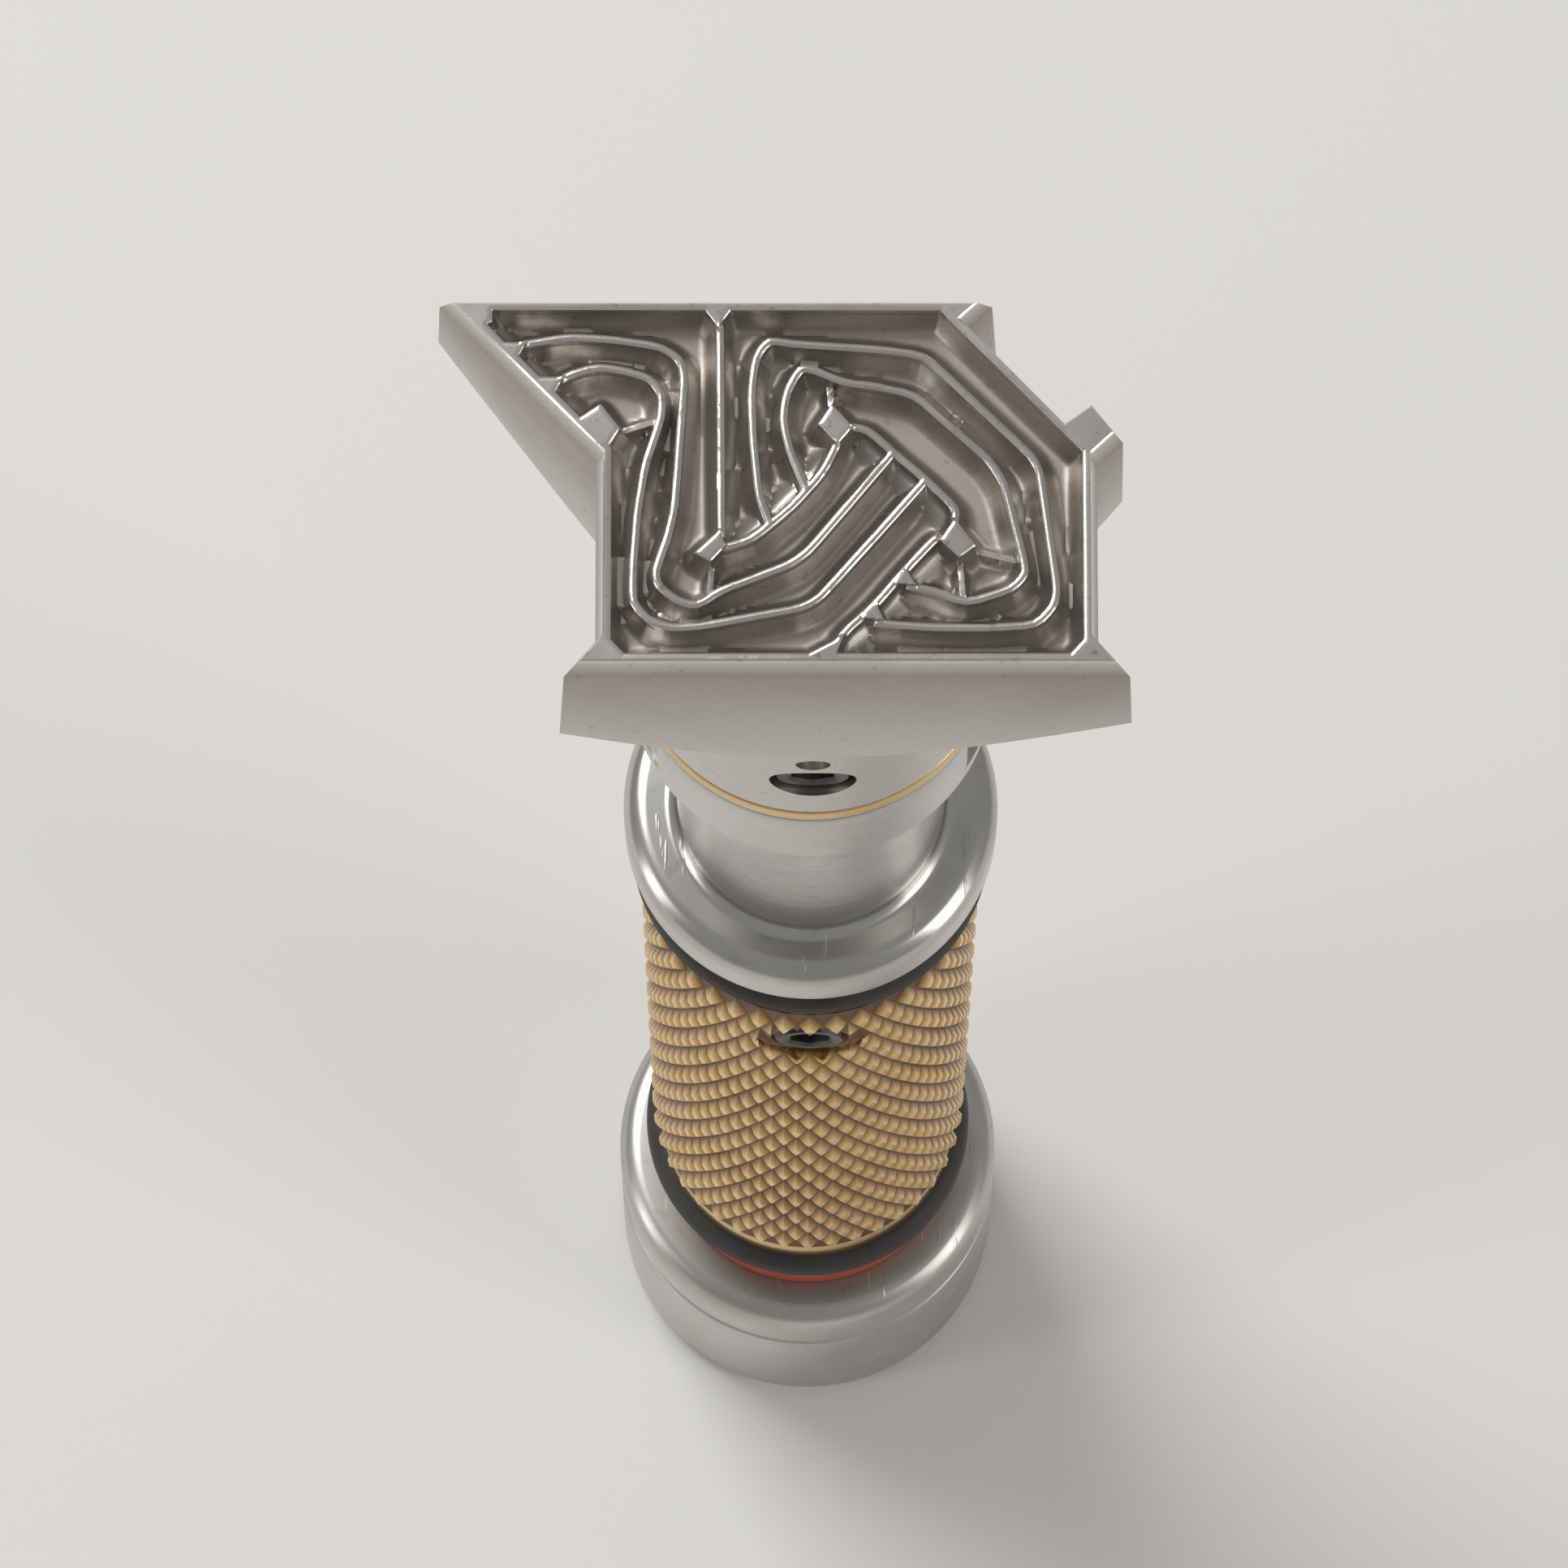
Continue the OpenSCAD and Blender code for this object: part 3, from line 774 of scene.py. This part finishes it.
    def mesh_points(self, inset):
        """Points for the face's mesh, and the edges that it has to keep."""
        rim = set(self.outline)
        points, kept, extra = list(inset), [], []
        kept += [(i, (i + 1) % len(inset)) for i in range(len(inset))]
        for a, b in self.edges:
            if a in rim and b in rim:
                continue
            a, b = np.array(a), np.array(b)
            length = np.linalg.norm(b - a)
            if length < 1e-3:
                continue
            side = np.array([a[1] - b[1], b[0] - a[0]]) / length
            count = max(1, math.ceil(length / EDGE_STEP))
            first = len(points)
            points += [tuple(a + (b - a) * k / count) for k in range(count + 1)]
            kept += [(first + k, first + k + 1) for k in range(count)]
            for k in range(count + 1):
                here = a + (b - a) * k / count
                fan = [side, -side]
                if k == 0:
                    fan += [np.array([math.cos(t), math.sin(t)]) for t in np.arange(0, TURN, 0.5)]
                extra += [(*(here + way * offset), offset) for way in fan for offset in LAYERS]
        extra = [(x, y) for x, y, offset in extra
                 if abs(self.off_edge(x, y)[0] - offset) < LAYER_TOLERANCE]
        low, high = np.min(inset, axis=0), np.max(inset, axis=0)
        for x in np.arange(low[0], high[0], GRID_STEP):
            for y in np.arange(low[1], high[1], GRID_STEP):
                away, in_channel = self.off_edge(x, y)
                if away > (CLEAR_IN_CHANNEL if in_channel else CLEAR_ON_RIDGE):
                    extra.append((x, y))
        cells = {(round(x / CELL), round(y / CELL)): (x, y) for x, y in extra}
        return points + list(cells.values()), kept


def mitred(loop, d):
    """A counter-clockwise loop moved inwards by d."""
    p = np.array(loop)
    ahead = np.roll(p, -1, 0) - p
    ahead /= np.linalg.norm(ahead, axis=1)[:, None]
    left = np.stack([-ahead[:, 1], ahead[:, 0]], 1)
    middle = left + np.roll(left, 1, 0)
    middle /= np.linalg.norm(middle, axis=1)[:, None]
    reach = np.maximum((middle * left).sum(1), 0.35)
    return [tuple(q) for q in p + middle * (d / reach)[:, None]]


def head_shell(work, relief):
    """Keeps the CAD head below its face. Returns the vertices of the edge it is open at."""
    bmesh.ops.remove_doubles(work, verts=work.verts, dist=0.001 * MM)
    at = {(round(v.co.x / MM, 3), round(v.co.y / MM, 3)): v for v in work.verts
          if v.co.z > (FACE_Z - 0.005) * MM}
    rim = [min((v for v in at.values()),
               key=lambda v: math.hypot(v.co.x / MM - x, v.co.y / MM - y))
           for x, y in relief.outline]
    barrier = {frozenset(pair) for pair in zip(rim, rim[1:] + rim[:1])}
    seen = {min(work.faces, key=lambda f: f.calc_center_median().z)}
    stack = list(seen)
    while stack:
        for edge in stack.pop().edges:
            if frozenset(edge.verts) in barrier:
                continue
            for face in edge.link_faces:
                if face not in seen:
                    seen.add(face)
                    stack.append(face)
    bmesh.ops.delete(work, geom=[f for f in work.faces if f not in seen], context="FACES")
    return rim


def indexed(sequence):
    """The same bmesh sequence, with its elements' indices up to date."""
    sequence.index_update()
    return sequence


def runs_smooth(edge, floor_z):
    """Whether shading runs on across an edge of the head. Its milled walls stay flat."""
    if len(edge.link_faces) != 2:
        return False
    turn = math.degrees(edge.calc_face_angle(0))
    kinds = [head_face_kind(face, floor_z) for face in edge.link_faces]
    if kinds[0] != kinds[1]:
        return False
    return turn < (4 if kinds[0] == "wall" else 38)


def head_face_kind(face, floor_z):
    """Which part of the head a face belongs to: engraved face, round boss, cone or wall."""
    if all(v.co.z / MM > floor_z - 0.01 for v in face.verts) and face.normal.z > 0.25:
        return "face"
    if all(math.hypot(v.co.x, v.co.y) / MM < SEAT_R + 0.01 for v in face.verts):
        return "boss"
    return "cone" if face.normal.z < -0.3 else "wall"


def stamp_head():
    """The CAD head's outside, with its face made anew: rounded channels, dips and edges."""
    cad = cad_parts["stamp_head"].data
    relief = Relief(cad)
    work = bmesh.new()
    work.from_mesh(cad)
    rim = head_shell(work, relief)
    for v in rim:
        v.co.z -= RIM_BEVEL * MM
    inset = mitred(relief.outline, RIM_BEVEL)
    points, kept = relief.mesh_points(inset)
    made = delaunay_2d_cdt([Vector(p) for p in points], kept, [list(range(len(inset)))], 1, 1e-4)
    surface = [work.verts.new((x * MM, y * MM, relief.height(x, y) * MM)) for x, y in made[0]]
    for face in made[2]:
        work.faces.new([surface[i] for i in face])
    place = {old: i for i, olds in enumerate(made[3]) for old in olds}
    top = [surface[place[i]] for i in range(len(inset))]
    for k in range(len(rim)):
        j = (k + 1) % len(rim)
        work.faces.new([rim[k], rim[j], top[j], top[k]])
    bmesh.ops.delete(work, geom=[v for v in work.verts if not v.link_faces], context="VERTS")
    mesh = bpy.data.meshes.new("stamp_head_mesh")
    bmesh.ops.recalc_face_normals(work, faces=work.faces)
    crisp = [e.index for e in indexed(work.edges) if not runs_smooth(e, relief.floor)]
    work.to_mesh(mesh)
    work.free()
    mesh.shade_smooth()
    sharp = np.zeros(len(mesh.edges), bool)
    sharp[crisp] = True
    mesh.attributes.new("sharp_edge", "BOOLEAN", "EDGE").data.foreach_set("value", sharp)
    piece = bpy.data.objects.new("stamp_head_engraved", mesh)
    bpy.context.scene.collection.objects.link(piece)
    tall = relief.plate - relief.floor
    set_depth(piece, [WALL_DEPTH if v.co.z / MM < relief.floor - 0.05
                      else (v.co.z / MM - relief.floor) / tall for v in mesh.vertices])
    return set_up(piece, "stamp_head", "head", engraved_steel())


# ---------------------------------------------------------------- studio

def floor():
    bpy.ops.mesh.primitive_plane_add(size=6)
    plane = bpy.context.object
    plane.name = "floor"
    n = Nodes("floor")
    plane.data.materials.append(n.finish(Base_Color=(0.8, 0.785, 0.76, 1), Roughness=0.85))


def soft_light(name, place, aim, width, height, power, colour=(1, 1, 1)):
    light = bpy.data.lights.new(name, "AREA")
    light.shape = "RECTANGLE"
    light.size, light.size_y = width, height
    light.energy = power
    light.color = colour
    lamp = bpy.data.objects.new(name, light)
    lamp.location = place
    lamp.rotation_euler = (Vector(aim) - Vector(place)).to_track_quat("-Z", "Y").to_euler()
    bpy.context.scene.collection.objects.link(lamp)


def studio():
    scene = bpy.context.scene
    scene.view_settings.view_transform = "Standard"
    world = bpy.data.worlds.new("studio")
    world.use_nodes = True
    world.node_tree.nodes["Background"].inputs["Color"].default_value = (1, 0.99, 0.97, 1)
    world.node_tree.nodes["Background"].inputs["Strength"].default_value = 0.33
    scene.world = world
    middle = (0, 0, 0.08)
    soft_light("key", (-0.3, 0.34, 0.56), middle, 0.34, 0.34, 2.9)
    soft_light("fill", (0.5, -0.25, 0.3), middle, 0.22, 0.6, 0.9, (1, 0.98, 0.95))
    soft_light("side", (-0.55, -0.15, 0.2), middle, 0.12, 0.6, 0.7)


def camera():
    """Looks steeply down on the face from the bottom side of the pattern."""
    elevation, distance, width = math.radians(75), 0.34, 0.052
    aim = Vector((-0.001, -0.0105, FACE_Z * MM))
    data = bpy.data.cameras.new("camera")
    data.sensor_width = 36
    data.lens = 36 * distance / width
    data.clip_start = 0.01
    view = bpy.data.objects.new("camera", data)
    view.location = aim + distance * Vector((0, -math.cos(elevation), math.sin(elevation)))
    view.rotation_euler = (aim - view.location).to_track_quat("-Z", "Y").to_euler()
    bpy.context.scene.collection.objects.link(view)
    bpy.context.scene.camera = view


camera()
studio()
floor()
strike_cap()
cap_pin()
cap_bumper()
shank()
grip_sleeve()
grip_rings()
BLACK = black_oxide()
set_screw("grip_lock_screw", "grip_lock_screw", "handle", BLACK)
set_screw("head_lock_screw", "head_lock_screw", "head_lock", BLACK)
head_stud()
timing_washer()
stamp_head()
